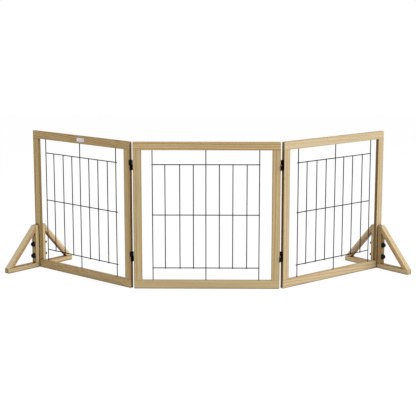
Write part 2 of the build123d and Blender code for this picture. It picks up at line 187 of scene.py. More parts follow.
def makePineGrain():
    tree, given, out = newGroup("pineGrain", [
        ("Vector", "vector", None),          # x along the bar, y across its face, z through it, in metres
        ("Normal", "vector", None),          # the surface's normal, turned the same way
        ("Seed", "float", 0.0),
        ("Ring Width", "float", 0.0055),
        ("Heart Across", "float", -0.035),   # the log's middle, off the bar's own middle
        ("Heart Below", "float", -0.05),
        ("Slope", "float", 0.0),             # how far the grain runs off across the face
        ("Half Length", "float", 0.3),
        ("Half Width", "float", 0.0165),
        ("Half Depth", "float", 0.0075),
        ("Pale", "color", None),
        ("Streak", "color", None),
        # The next two colours: the painted shade on the narrow sides, and the painted light on a side set
        # below zero
        ("Side", "color", None),
        ("Side Light", "color", None),
        # The painted shade's colour on the rounded edges
        ("Edge", "color", None),
        ("Streak Strength", "float", 0.8),
        ("Dash Strength", "float", 0.3),
        ("Line Across", "float", 0.0),       # one strong line of its own along the face
        ("Line Width", "float", 0.002),
        ("Line Strength", "float", 0.0),
        ("Edge Strength", "float", 0.5),
        ("Side Above", "float", 0.5),        # how deep the painted shade on the side across the grain is, one way
        ("Side Below", "float", 0.5),        # and the other way. Below zero it gets painted light instead
        ("Tone", "float", 1.0),
    ], [("Color", "color"), ("Roughness", "float"), ("Height", "float")])
    scales, cuts, strengths = grainScales, grainCuts, grainStrengths
    shifts = {axis: mathNode(tree, "MULTIPLY", given["Seed"], shift) for axis, shift in enumerate(seedShifts)}
    seedShift = addNode(tree, "ShaderNodeCombineXYZ", None, shifts).outputs[0]
    parts = addNode(tree, "ShaderNodeSeparateXYZ", None, {0: given["Vector"]}).outputs
    runOff = mathNode(tree, "MULTIPLY", parts[0], given["Slope"])
    besideGrain = mathNode(tree, "SUBTRACT", parts[1], runOff)
    alongGrain = addNode(tree, "ShaderNodeCombineXYZ", None, {
        0: parts[0], 1: besideGrain, 2: parts[2]}).outputs[0]
    seeded = vectorNode(tree, "ADD", alongGrain, seedShift)
    # Growth rings: distance from the log's middle, bent a little along the bar
    bend = mathNode(tree, "SUBTRACT", noise(tree, seeded, scales["bend"], 1.5), 0.5)
    ripple = mathNode(tree, "SUBTRACT", noise(tree, seeded, scales["ripple"], 1.0), 0.5)
    across = mathNode(tree, "SUBTRACT", besideGrain, given["Heart Across"])
    through = mathNode(tree, "SUBTRACT", parts[2], given["Heart Below"])
    squares = mathNode(tree, "ADD", mathNode(tree, "MULTIPLY", across, across),
                       mathNode(tree, "MULTIPLY", through, through))
    radius = mathNode(tree, "MULTIPLY_ADD", bend, strengths["ringBend"], mathNode(tree, "SQRT", squares))
    radius = mathNode(tree, "MULTIPLY_ADD", ripple, strengths["ringRipple"], radius)
    phase = mathNode(tree, "DIVIDE", radius, given["Ring Width"])
    inRing = mathNode(tree, "FRACT", phase)
    lateWood = mathNode(tree, "MULTIPLY", mapRange(tree, inRing, *cuts["lateWoodRise"]),
                        mapRange(tree, inRing, *cuts["lateWoodFall"], 1.0, 0.0))
    ringNumber = mathNode(tree, "ADD", mathNode(tree, "FLOOR", phase), given["Seed"])
    ringShare = addNode(tree, "ShaderNodeTexWhiteNoise", {"noise_dimensions": "1D"},
                        {"W": ringNumber}).outputs[0]
    lateWood = mathNode(tree, "MULTIPLY", lateWood, mapRange(tree, ringShare, 0.0, 1.0, 0.35, 1.0, False))
    lateWood = mathNode(tree, "MULTIPLY", lateWood, given["Streak Strength"])
    dashes = mapRange(tree, noise(tree, seeded, scales["dashes"], 2.0), *cuts["dashes"])
    dashes = mathNode(tree, "MULTIPLY", dashes, given["Dash Strength"])
    # The bar's own line wavers with the rings and is broken here and there
    waver = mathNode(tree, "MULTIPLY_ADD", bend, strengths["lineBend"], given["Line Across"])
    fromLine = mathNode(tree, "ABSOLUTE", mathNode(tree, "SUBTRACT", besideGrain, waver))
    line = mapRange(tree, mathNode(tree, "DIVIDE", fromLine, given["Line Width"]), 0.0, 1.0, 1.0, 0.0)
    breaks = noise(tree, seeded, scales["lineBreaks"], 1.0)
    broken = mapRange(tree, breaks, *cuts["lineBreaks"], 0.45, 1.0)
    line = mathNode(tree, "MULTIPLY", mathNode(tree, "MULTIPLY", line, broken), given["Line Strength"])
    marks = mathNode(tree, "MAXIMUM", mathNode(tree, "MAXIMUM", lateWood, dashes), line)
    color = mixColor(tree, marks, given["Pale"], given["Streak"])
    # Broad changes of tone, then fibres and fine dark flecks along the grain
    cloud = noise(tree, seeded, scales["clouds"], 2.0)
    fibre = noise(tree, seeded, scales["fibres"], 3.0, 0.6)
    streaks = noise(tree, seeded, scales["streaks"], 2.0)
    fleck = mapRange(tree, noise(tree, seeded, scales["flecks"], 1.0), *cuts["flecks"])
    value = 1.0
    for mark, name in ((cloud, "clouds"), (fibre, "fibres"), (streaks, "streaks")):
        value = mathNode(tree, "MULTIPLY_ADD", mathNode(tree, "SUBTRACT", mark, 0.5), strengths[name], value)
    value = mathNode(tree, "MULTIPLY", value, mathNode(tree, "MULTIPLY_ADD", fleck, strengths["flecks"], 1.0))
    value = mathNode(tree, "MULTIPLY", value, given["Tone"])
    # Rounded edges get a deeper tone and narrow sides a darker one, both painted shade, and a side set below
    # zero gets painted light instead. End grain is darker too
    toEdge = mathNode(tree, "MAXIMUM",
                      mathNode(tree, "SUBTRACT", given["Half Width"], mathNode(tree, "ABSOLUTE", parts[1])),
                      mathNode(tree, "SUBTRACT", given["Half Depth"], mathNode(tree, "ABSOLUTE", parts[2])))
    onEdge = mapRange(tree, toEdge, *grainReach["edge"], 1.0, 0.0)
    edgeShare = mathNode(tree, "MULTIPLY", onEdge, given["Edge Strength"])
    color = mixColor(tree, edgeShare, color, given["Edge"])
    faces = addNode(tree, "ShaderNodeSeparateXYZ", None, {0: given["Normal"]}).outputs
    above = mathNode(tree, "MULTIPLY", mapRange(tree, faces[1], 0.35, 0.95), given["Side Above"])
    below = mathNode(tree, "MULTIPLY", mapRange(tree, faces[1], -0.35, -0.95), given["Side Below"])
    onSide = mathNode(tree, "ADD", above, below)
    color = mixColor(tree, mathNode(tree, "MAXIMUM", onSide, 0.0), color, given["Side"])
    sideLit = mathNode(tree, "MULTIPLY", mathNode(tree, "MINIMUM", onSide, 0.0), -1.0)
    color = mixColor(tree, sideLit, color, given["Side Light"])
    onEnd = mapRange(tree, mathNode(tree, "ABSOLUTE", faces[0]), 0.75, 0.95)
    endTone = mathNode(tree, "MULTIPLY_ADD", onEnd, strengths["endGrain"], 1.0)
    value = mathNode(tree, "MULTIPLY", value, endTone)
    # A fine dark line where a bar's end meets its neighbour
    fromEnd = mathNode(tree, "SUBTRACT", given["Half Length"], mathNode(tree, "ABSOLUTE", parts[0]))
    seam = mapRange(tree, fromEnd, 0.0, grainReach["seam"], 1.0, 0.0)
    value = mathNode(tree, "MULTIPLY", value, mathNode(tree, "MULTIPLY_ADD", seam, strengths["seam"], 1.0))
    tree.links.new(shadeColor(tree, color, value), out["Color"])
    rough = mathNode(tree, "MULTIPLY_ADD", fibre, 0.16, 0.44)
    rough = mathNode(tree, "MULTIPLY_ADD", lateWood, -0.07, rough)
    tree.links.new(mathNode(tree, "MULTIPLY_ADD", onEnd, 0.2, rough), out["Roughness"])
    height = mathNode(tree, "MULTIPLY_ADD", fibre, 0.5, mathNode(tree, "MULTIPLY", lateWood, 0.5))
    height = mathNode(tree, "MULTIPLY_ADD", seam, -1.0, height)
    tree.links.new(mathNode(tree, "MULTIPLY_ADD", fleck, -0.4, height), out["Height"])
    return tree


def makeEdgeWear():
    # 1 on outside edges, broken up so that it looks rubbed
    tree, given, out = newGroup("edgeWear", [
        ("Vector", "vector", None), ("Radius", "float", 0.6 * mm), ("Patch Size", "float", 6 * mm),
    ], [("Mask", "float")])
    bevel = addNode(tree, "ShaderNodeBevel", {"samples": 6}, {"Radius": given["Radius"]}).outputs[0]
    flat = addNode(tree, "ShaderNodeNewGeometry").outputs["Normal"]
    turned = mathNode(tree, "SUBTRACT", 1.0, vectorNode(tree, "DOT_PRODUCT", bevel, flat))
    edge = mapRange(tree, turned, 0.02, 0.22)
    scale = mathNode(tree, "DIVIDE", 1.0, given["Patch Size"])
    inputs = {"Vector": given["Vector"], "Scale": scale, "Detail": 4.0, "Roughness": 0.65}
    patches = addNode(tree, "ShaderNodeTexNoise", None, inputs).outputs[0]
    tree.links.new(mathNode(tree, "MULTIPLY", edge, mapRange(tree, patches, 0.38, 0.62)), out["Mask"])
    return tree


def makeCornerShade():
    # Painted shade where two pieces meet: the colour darkens where an occlusion test finds other surfaces
    # close by
    tree, given, out = newGroup("cornerShade", [
        ("Color", "color", None), ("Shade", "color", None),
        ("Reach", "float", 20 * mm), ("Strength", "float", 0.5),
    ], [("Color", "color")])
    occlusion = addNode(tree, "ShaderNodeAmbientOcclusion", {"samples": 8}, {"Distance": given["Reach"]})
    closed = mapRange(tree, occlusion.outputs["AO"], 0.35, 0.95, 1.0, 0.0)
    share = mathNode(tree, "MULTIPLY", closed, given["Strength"])
    tree.links.new(mixColor(tree, share, given["Color"], given["Shade"], "MULTIPLY"), out["Color"])
    return tree


def makeCoatSpeckle():
    # The fine orange peel of powder coat and moulded plastic
    tree, given, out = newGroup("coatSpeckle", [
        ("Vector", "vector", None), ("Grain Size", "float", 0.4 * mm),
    ], [("Height", "float"), ("Tone", "float")])
    scale = mathNode(tree, "DIVIDE", 1.0, given["Grain Size"])
    inputs = {"Vector": given["Vector"], "Scale": scale, "Detail": 2.0}
    grain = addNode(tree, "ShaderNodeTexNoise", None, inputs).outputs[0]
    inputs = {"Vector": given["Vector"], "Scale": mathNode(tree, "MULTIPLY", scale, 0.06), "Detail": 3.0}
    coarse = addNode(tree, "ShaderNodeTexNoise", None, inputs).outputs[0]
    tree.links.new(grain, out["Height"])
    tree.links.new(coarse, out["Tone"])
    return tree


pineGrain = makePineGrain()
edgeWear = makeEdgeWear()
cornerShade = makeCornerShade()
coatSpeckle = makeCoatSpeckle()


def newMaterial(name, **values):
    material = bpy.data.materials.new(name)
    material.use_nodes = True
    tree = material.node_tree
    tree.nodes.clear()
    shader = addNode(tree, "ShaderNodeBsdfPrincipled")
    for label, value in values.items():
        shader.inputs[label.replace("_", " ")].default_value = value
    output = addNode(tree, "ShaderNodeOutputMaterial")
    tree.links.new(shader.outputs[0], output.inputs[0])
    return material, tree, shader


def placeGroup(tree, group, inputs):
    return addNode(tree, "ShaderNodeGroup", {"node_tree": group}, inputs).outputs


def addBump(tree, shader, height, strength, distance):
    inputs = {"Height": height, "Strength": strength, "Distance": distance}
    tree.links.new(addNode(tree, "ShaderNodeBump", None, inputs).outputs[0], shader.inputs["Normal"])


# Pine

pineLook = {
    # Painted shade on the narrow sides of the panels' and the feet's bars, then painted light for a side set
    # below zero
    "panelSideShade": tint(121, 94, 51),
    "footSideShade": tint(108, 78, 38),
    "sideLight": tint(236, 217, 180),
    # Painted shade on the rounded edges, then painted shade near other pieces and how far and strong it
    # reaches
    "edge": tint(162, 122, 64),
    "corner": tint(96, 66, 38),
    "cornerReach": 9 * mm,
    "cornerStrength": 0.95,
    "gloss": 0.2,
    "bumpStrength": 0.5,
    "bumpDistance": 0.12 * mm,
}
# Pale wood and streaks: of each panel's boards, and the three woods of the feet. The left panel's woods are
# warmer and the right panel's cooler: painted shade on the panel that turns from the light, painted light on
# the one that faces it
woodTones = {
    "left": (tint(199, 176, 128), tint(172, 124, 73)),
    "centre": (tint(196, 177, 134), tint(179, 138, 85)),
    "right": (tint(190, 175, 141), tint(180, 145, 101)),
    "feet": (tint(202, 184, 142), tint(172, 136, 90)),
    "warm": (tint(193, 162, 114), tint(167, 126, 79)),
    "pale": (tint(209, 197, 166), tint(184, 157, 121)),
}
footWoods = ("feet", "warm", "pale")
# A bar's look, where panelBars or footBars doesn't say otherwise
plainBar = {
    "ring": 8.0,              # ring width in mm
    "heart": (60, -60),       # the log's middle across and below, in mm
    "slope": 0.0,             # how far the grain runs off across the face
    "streaks": 1.0,
    "dashes": 0.3,
    "line": (0, 2, 0),        # a line's place across and width in mm, and its strength
    "tone": 1.0,
    "edges": 0.55,            # how deep the painted shade on the rounded edges is
    "sides": (0.3, 0.3),      # painted shade on the sides above and below. Below zero they get painted light instead
}


def makePine(name, axes, middle, half, bar):
    # axes: along the grain, across the face, out of the face. half: half the length, width and depth
    look = {**plainBar, **bar}
    pale, streak = woodTones[look["wood"]]
    side = pineLook["footSideShade" if look["wood"] in footWoods else "panelSideShade"]
    material, tree, shader = newMaterial(name, Specular_IOR_Level=pineLook["gloss"])
    turn = Matrix(axes)
    angles = turn.to_euler()
    coordinates = addNode(tree, "ShaderNodeTexCoord").outputs
    place = addNode(tree, "ShaderNodeMapping", {"vector_type": "POINT"}, {
        "Vector": coordinates["Object"], "Location": -(turn @ middle), "Rotation": angles}).outputs[0]
    normal = addNode(tree, "ShaderNodeMapping", {"vector_type": "VECTOR"}, {
        "Vector": coordinates["Normal"], "Rotation": angles}).outputs[0]
    grain = placeGroup(tree, pineGrain, {
        "Vector": place, "Normal": normal, "Seed": look["seed"],
        "Ring Width": look["ring"] * mm, "Slope": look["slope"],
        "Heart Across": look["heart"][0] * mm, "Heart Below": look["heart"][1] * mm,
        "Half Length": half[0], "Half Width": half[1], "Half Depth": half[2],
        "Pale": pale, "Streak": streak, "Side": side, "Side Light": pineLook["sideLight"],
        "Edge": pineLook["edge"],
        "Streak Strength": look["streaks"], "Dash Strength": look["dashes"],
        "Line Across": look["line"][0] * mm, "Line Width": look["line"][1] * mm,
        "Line Strength": look["line"][2],
        "Edge Strength": look["edges"], "Tone": look["tone"],
        "Side Above": look["sides"][0], "Side Below": look["sides"][1]})
    shaded = placeGroup(tree, cornerShade, {
        "Color": grain["Color"], "Shade": pineLook["corner"], "Reach": pineLook["cornerReach"],
        "Strength": pineLook["cornerStrength"]})
    tree.links.new(shaded["Color"], shader.inputs["Base Color"])
    tree.links.new(grain["Roughness"], shader.inputs["Roughness"])
    addBump(tree, shader, grain["Height"], pineLook["bumpStrength"], pineLook["bumpDistance"])
    return material


def dress(node, material):
    mesh = nodes[node].data
    mesh.materials.clear()
    mesh.materials.append(material)


across, up, outward = Vector((1, 0, 0)), Vector((0, 0, 1)), Vector((0, -1, 0))
# Painted shade on both narrow sides of a stile
dark = (0.95, 0.95)
# The rails, then the stiles seen from the front
panelBars = {
    "left": {
        "top_rail": {"seed": 23.1, "ring": 6.5, "heart": (-70, -45), "slope": -0.07, "dashes": 0.9,
                     "tone": 0.99},
        "bottom_rail": {"seed": 28.7, "heart": (55, -60), "slope": -0.13, "streaks": 0.4, "dashes": 1.0,
                        "tone": 0.98},
        "left": {"seed": 25.3, "ring": 12, "heart": (-60, -50), "slope": -0.03, "streaks": 0.5,
                 "line": (9.5, 4, 1.1), "edges": 0, "sides": (0.9, 0.9)},
        "right": {"seed": 32.9, "heart": (60, -66), "streaks": 0.6, "tone": 0.98,
                  "line": (-11, 5, 0.9), "edges": 0.2, "sides": dark},
    },
    "centre": {
        "top_rail": {"seed": 3.1, "ring": 9.3, "heart": (-88.6, -42), "streaks": 1.7, "tone": 1.03},
        "bottom_rail": {"seed": 8.7, "ring": 7, "heart": (41, -60), "streaks": 0.3, "dashes": 0.1,
                        "edges": 0.3},
        "left": {"seed": 5.3, "ring": 15.4, "heart": (75, -50), "streaks": 0.5, "dashes": 0.2,
                 "line": (4.5, 4, 1.1), "tone": 0.98, "sides": dark},
        "right": {"seed": 12.9, "ring": 9, "heart": (90, -66), "tone": 0.98, "sides": dark},
    },
    "right": {
        "top_rail": {"seed": 43.1, "heart": (-50, -62), "slope": -0.03, "streaks": 0.6},
        "bottom_rail": {"seed": 48.7, "ring": 9, "heart": (70, -60), "slope": -0.05, "tone": 1.02},
        "left": {"seed": 45.3, "ring": 11, "heart": (-60, -50), "streaks": 0.8, "tone": 0.97,
                 "line": (-1.5, 4, 1.4), "edges": 0.2, "sides": dark},
        "right": {"seed": 52.9, "ring": 12, "heart": (66, -66), "streaks": 0.9, "tone": 0.96,
                 "line": (6, 4, 1.3), "sides": dark},
    },
}
panelStiles = {
    "left": {"left": "outer_stile", "right": "hinge_stile"},
    "centre": {"left": "left_stile", "right": "right_stile"},
    "right": {"left": "hinge_stile", "right": "outer_stile"},
}


def nodeMiddle(node):
    low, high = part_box(node)
    return (Vector(low) + Vector(high)) / 2


def dressPanel(side):
    turn = foldTurn(side).to_3x3()
    for bar, look in panelBars[side].items():
        node = f"{side}_panel_{panelStiles[side].get(bar, bar)}"
        low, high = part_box(node)
        lying = "rail" in bar
        alongHere = turn @ (across if lying else up)
        outHere = turn @ outward
        axes = (alongHere, outHere.cross(alongHere), outHere)
        height = high[2] - low[2]
        halfSize = (panelWidth / 2, height / 2) if lying else (height / 2, stileWidth / 2)
        sawn = {**look, "wood": side}
        dress(node, makePine(node, axes, nodeMiddle(node), (*halfSize, halfThickness), sawn))


for side in panelBars:
    dressPanel(side)
print("pine on the panels")


# Feet: the grain of a brace runs down its slope

footBars = {
    "base": {"seed": 61, "ring": 7, "heart": (40, -40), "dashes": 0.5},
    "upright": {"seed": 67, "ring": 6, "heart": (-36, -36), "streaks": 0.9, "dashes": 0.5},
    "brace": {"seed": 73, "ring": 6, "heart": (-60, -34), "streaks": 1.2, "dashes": 0.6},
}
# Each foot's bars: tone, then the painted shade on the sides, inside the triangle and outside it. Below zero
# a side gets painted light instead
footTones = {
    "left_front": {"base": (0.95, 0.75, 0.1), "upright": (0.98, 0.22, 0.1), "brace": (0.93, 0.75, -0.85)},
    "left_back": {"base": (1.0, 0.75, 0.1), "upright": (1.03, 0.7, 0.1), "brace": (1.13, 0.95, 0.0)},
    "right_front": {"base": (1.0, 0.75, 0.1), "upright": (0.84, 0.5, 0.1), "brace": (1.01, 0.75, 0.08)},
    "right_back": {"base": (1.33, 0.75, 0.1), "upright": (1.15, 0.7, 0.1), "brace": (1.1, 0.75, 0.0)},
}
# Bars of another wood than the rest. The right front upright's wood is the feet's wood made warmer and
# darker, painted shade on a bar that faces away from the light
oddBars = {
    ("right", "front", "upright"): "warm",
    ("left", "back", "brace"): "pale",
    ("right", "back", "brace"): "pale",
}
seedSteps = {"left": 0, "right": 100, "front": 0, "back": 7}
openLength = 1.0              # a half length past any bar keeps its ends free of the dark line


def dressFoot(side, place):
    turn = foldTurn(side).to_3x3()
    away = turn @ Vector((0, -1 if place == "front" else 1, 0))
    sideways = turn @ across
    foot = f"{side}_{place}_foot_"
    run = footReach - footDepth
    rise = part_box(foot + "upright")[1][2] - footTipHeight
    down = (away * run - up * rise).normalized()
    into = -(away * rise + up * run).normalized()
    # Along the grain, and across it towards the inside of the triangle, where the bars get painted shade
    ways = {"base": (away, up), "upright": (up, away), "brace": (down, into)}
    for bar, (along, inward) in ways.items():
        outHere = sideways if along.cross(inward).dot(sideways) > 0 else -sideways
        tone, inside, outside = footTones[f"{side}_{place}"][bar]
        look = {**footBars[bar], "tone": tone, "sides": (inside, outside)}
        look["seed"] += seedSteps[side] + seedSteps[place]
        look["wood"] = oddBars.get((side, place, bar), "feet")
        halfSize = (openLength, footDepth / 2, footWidth / 2)
        node = foot + bar
        dress(node, makePine(node, (along, inward, outHere), nodeMiddle(node), halfSize, look))


for side in ("left", "right"):
    for place in ("front", "back"):
        dressFoot(side, place)
print("pine on the feet")


# Dowels

dowelLook = {
    "seed": 5.0,
    "ring": 2 * mm,
    "pale": tint(222, 204, 160),
    "streak": tint(205, 172, 120),
    "bump": (0.4, 0.1 * mm),
}


def makeDowelWood():
    material, tree, shader = newMaterial("dowelWood")
    coordinates = addNode(tree, "ShaderNodeTexCoord").outputs
    grain = placeGroup(tree, pineGrain, {
        "Vector": coordinates["Object"], "Normal": coordinates["Normal"], "Seed": dowelLook["seed"],
        "Ring Width": dowelLook["ring"], "Half Length": openLength, "Pale": dowelLook["pale"],
        "Streak": dowelLook["streak"], "Edge Strength": 0.0, "Side Above": 0.0, "Side Below": 0.0})
    tree.links.new(grain["Color"], shader.inputs["Base Color"])
    tree.links.new(grain["Roughness"], shader.inputs["Roughness"])
    addBump(tree, shader, grain["Height"], *dowelLook["bump"])
    return material


dowelWood = makeDowelWood()
for side in ("left", "centre", "right"):
    dress(side + "_panel_dowels", dowelWood)


# Coated and moulded finishes

# Worn: the colour of rubbed edges. Wear: how strong it is. Speckle and depth: the size of the orange peel
coats = {
    "wireBlack": {"color": tint(14, 14, 16), "worn": tint(46, 46, 48), "roughness": 0.42, "gloss": 0.08,
                  "speckle": 0.5 * mm, "depth": 0.03 * mm, "wearRadius": 0.3 * mm, "wear": 0.15},
    "hingeBlack": {"color": tint(6, 6, 6), "worn": tint(70, 68, 66), "roughness": 0.45, "gloss": 0.12,
                   "speckle": 0.35 * mm, "depth": 0.04 * mm, "wearRadius": 0.4 * mm, "wear": 0.2},
    "screwBlack": {"color": tint(26, 26, 27), "worn": tint(110, 108, 104), "roughness": 0.36, "gloss": 0.5,
                   "speckle": 0.25 * mm, "depth": 0.02 * mm, "wearRadius": 0.25 * mm, "wear": 0.55},
    "knobBlack": {"color": tint(5, 6, 8), "worn": tint(30, 31, 34), "roughness": 0.22, "gloss": 0.13,
                  "speckle": 0.6 * mm, "depth": 0.02 * mm, "wearRadius": 0.5 * mm, "wear": 0.25},
    "nutBlack": {"color": tint(10, 10, 12), "worn": tint(80, 79, 77), "roughness": 0.22, "gloss": 0.3,
                 "speckle": 0.4 * mm, "depth": 0.015 * mm, "wearRadius": 0.35 * mm, "wear": 0.4},
}


def makeCoated(name):
    coat = coats[name]
    material, tree, shader = newMaterial(name, Specular_IOR_Level=coat["gloss"])
    place = addNode(tree, "ShaderNodeTexCoord").outputs["Object"]
    speckle = placeGroup(tree, coatSpeckle, {"Vector": place, "Grain Size": coat["speckle"]})
    wear = placeGroup(tree, edgeWear, {"Vector": place, "Radius": coat["wearRadius"]})["Mask"]
    wear = mathNode(tree, "MULTIPLY", wear, coat["wear"])
    tone = mapRange(tree, speckle["Tone"], 0.3, 0.7, 0.8, 1.25)
    mottled = shadeColor(tree, coat["color"], tone)
    tree.links.new(mixColor(tree, wear, mottled, coat["worn"]), shader.inputs["Base Color"])
    rough = mapRange(tree, speckle["Tone"], 0.3, 0.7, coat["roughness"] - 0.06, coat["roughness"] + 0.08)
    tree.links.new(rough, shader.inputs["Roughness"])
    addBump(tree, shader, speckle["Height"], 0.35, coat["depth"])
    return material


wireBlack, hingeBlack, screwBlack, knobBlack, nutBlack = [makeCoated(name) for name in coats]

threadLook = {"pitch": 1.25 * mm, "depth": 0.4 * mm, "tint": (0.72, 0.73, 0.75), "streakScale": 700.0}


def makeThreadedSteel(name, axis, middle):
    look = threadLook
    material, tree, shader = newMaterial(name, Metallic=1.0)
    place = addNode(tree, "ShaderNodeTexCoord").outputs["Object"]
    along = vectorNode(tree, "DOT_PRODUCT", vectorNode(tree, "SUBTRACT", place, middle), axis)
    turns = mathNode(tree, "FRACT", mathNode(tree, "DIVIDE", along, look["pitch"]))
    ridge = mathNode(tree, "ABSOLUTE", mathNode(tree, "MULTIPLY_ADD", turns, 2.0, -1.0))
    inputs = {"Vector": place, "Scale": look["streakScale"], "Detail": 3.0}
    streaks = addNode(tree, "ShaderNodeTexNoise", None, inputs).outputs[0]
    # The colour is lighter on the thread's crests and darker in its grooves: painted shade in the grooves
    shade = mathNode(tree, "MULTIPLY_ADD", ridge, 0.25, mapRange(tree, streaks, 0.3, 0.7, 0.62, 0.82))
    channels = {index: mathNode(tree, "MULTIPLY", shade, share) for index, share in enumerate(look["tint"])}
    color = addNode(tree, "ShaderNodeCombineColor", None, channels).outputs[0]
    tree.links.new(color, shader.inputs["Base Color"])
    tree.links.new(mapRange(tree, streaks, 0.3, 0.7, 0.26, 0.4), shader.inputs["Roughness"])
    addBump(tree, shader, ridge, 0.8, look["depth"])
    return material


for node in nodes:
    if node.endswith(("_leaf", "_link", "_hinge_pins")):
        dress(node, hingeBlack)
    elif node.endswith("_leaf_screws"):
        dress(node, screwBlack)
print("hinges and screws")


# Pieces made here

def finishPiece(piece, body, replaced, material=None):
    if material:
        piece.data.materials.clear()
        piece.data.materials.append(material)
    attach(piece, body)
    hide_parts(*replaced)
    return piece


def meshObject(name, mesh):
    piece = bpy.data.objects.new(name, mesh)
    scene.collection.objects.link(piece)
    return piece


def meshFrom(work, name):
    mesh = bpy.data.meshes.new(name)
    work.to_mesh(mesh)
    work.free()
    return mesh


def smoothByAngle(mesh, degrees):
    work = bmesh.new()
    work.from_mesh(mesh)
    for face in work.faces:
        face.smooth = True
    for edge in work.edges:
        edge.smooth = edge.calc_face_angle(pi) < radians(degrees)
    work.to_mesh(mesh)
    work.free()


def latheMesh(name, rings, segments, radiusAt=None):
    # rings: (radius, height) from the underside to the top. radiusAt(radius, angle) may reshape a ring
    work = bmesh.new()
    loops = []
    for radius, height in rings:
        if radius == 0:
            loops.append([work.verts.new((0, 0, height))])
            continue
        loop = []
        for index in range(segments):
            angle = 2 * pi * index / segments
            here = radiusAt(radius, angle) if radiusAt else radius
            loop.append(work.verts.new((here * cos(angle), here * sin(angle), height)))
        loops.append(loop)
    for lower, upper in zip(loops, loops[1:]):
        for index in range(segments):
            after = (index + 1) % segments
            if len(lower) == 1:
                work.faces.new((lower[0], upper[after], upper[index]))
            elif len(upper) == 1:
                work.faces.new((lower[index], lower[after], upper[0]))
            else:
                work.faces.new((lower[index], lower[after], upper[after], upper[index]))
    return meshFrom(work, name)


# Knobs: a collar, a fine groove over it and a dome

knobSizes = {
    "radius": 11 * mm,
    "height": 13 * mm,
    "collar": 3 * mm,
    "edge": 0.8 * mm,
    "edgeSteps": 4,
    "crown": 2.5 * mm,
    "bore": 4.05 * mm,
    "boreDepth": 8.05 * mm,
    "boreEdge": 0.3 * mm,
    "grooveHalf": 0.5 * mm,
    "grooveLip": (0.12 * mm, 0.2 * mm),    # inwards, and from the groove's middle
    "grooveRadius": 10.75 * mm,
    "segments": 64,
    "domeSteps": 14,
    "seatGap": 0.2 * mm,
    "smoothAngle": 50,
}


def knobRings():
    size = knobSizes
    radius, collar, bore, boreEdge = (size[key] for key in ("radius", "collar", "bore", "boreEdge"))
    lipIn, lipUp = size["grooveLip"]
    rings = [(0, size["boreDepth"]), (bore - boreEdge, size["boreDepth"]),
             (bore, size["boreDepth"] - boreEdge), (bore, boreEdge),
             (bore + boreEdge, 0), (radius - size["edge"], 0)]
    for step in range(1, size["edgeSteps"] + 1):
        angle = pi / 2 * step / size["edgeSteps"]
        rings.append((radius - size["edge"] * (1 - sin(angle)), size["edge"] * (1 - cos(angle))))
    rings += [(radius, collar - size["grooveHalf"]), (radius - lipIn, collar - lipUp),
              (size["grooveRadius"], collar), (radius - lipIn, collar + lipUp)]
    for step in range(1, size["domeSteps"] + 1):
        angle = pi / 2 * step / size["domeSteps"]
        rings.append((size["crown"] + (radius - size["crown"]) * cos(angle),
                      collar + (size["height"] - collar) * sin(angle)))
    rings.append((0, size["height"]))
    return rings


# Cap nuts: a chamfered hexagon under a dome

nutSizes = {
    "flats": 13 * mm,
    "hexHeight": 6.5 * mm,
    "height": 15 * mm,
    "domeRadius": 6.25 * mm,
    "chamferRadius": 7.05 * mm,
    "chamfer": 0.45 * mm,
    "chamferMiddle": 0.27 * mm,
    "cornerDrop": 0.4 * mm,      # from the chamfer to the corners' full height
    "lowInset": 0.15 * mm,
    "highInset": 0.05 * mm,
    "bore": 4.05 * mm,
    "boreDepth": 10.8 * mm,
    "boreEdge": 0.5 * mm,
    "drillTip": 0.6 * mm,
    "uncut": 20 * mm,            # any radius past the hexagon's corners
    "segments": 72,
    "domeSteps": 12,
    "smoothAngle": 24,
}


def nutRings():
    # Radii over the flats' half width are cut back to the hexagon
    size = nutSizes
    bore, hexHeight, uncut = (size[key] for key in ("bore", "hexHeight", "uncut"))
    corner = size["chamfer"] + size["cornerDrop"]
    rings = [(0, size["boreDepth"]), (bore, size["boreDepth"] - size["drillTip"]), (bore, size["boreEdge"]),
             (bore + size["boreEdge"], 0), (size["flats"] / 2 - size["lowInset"], 0),
             (size["chamferRadius"], size["chamferMiddle"]), (uncut, corner), (uncut, hexHeight - corner),
             (size["chamferRadius"], hexHeight - size["chamferMiddle"]),
             (size["flats"] / 2 - size["highInset"], hexHeight), (size["domeRadius"], hexHeight)]
    centre = size["height"] - size["domeRadius"]
    for step in range(size["domeSteps"]):
        angle = pi / 2 * step / size["domeSteps"]
        rings.append((size["domeRadius"] * cos(angle), centre + size["domeRadius"] * sin(angle)))
    rings.append((0, size["height"]))
    return rings


def hexCut(radius, angle):
    sixth = pi / 3
    inSixth = (angle + pi / 6) % sixth - sixth / 2
    return min(radius, nutSizes["flats"] / 2 / cos(inSixth))


def boltFrame(side, level):
    # Where a knob sits, and the bolt's axis, which points out of the gate's front
    joint = joints[f"{side}_{level}_knob_turn"]
    return Vector(joint["pos_m"]), Vector(joint["axis"]).normalized()


def standOn(mesh, place, axis):
    turn = Vector((0, 0, 1)).rotation_difference(axis).to_matrix().to_4x4()
    mesh.transform(Matrix.Translation(place) @ turn)
    mesh.update()


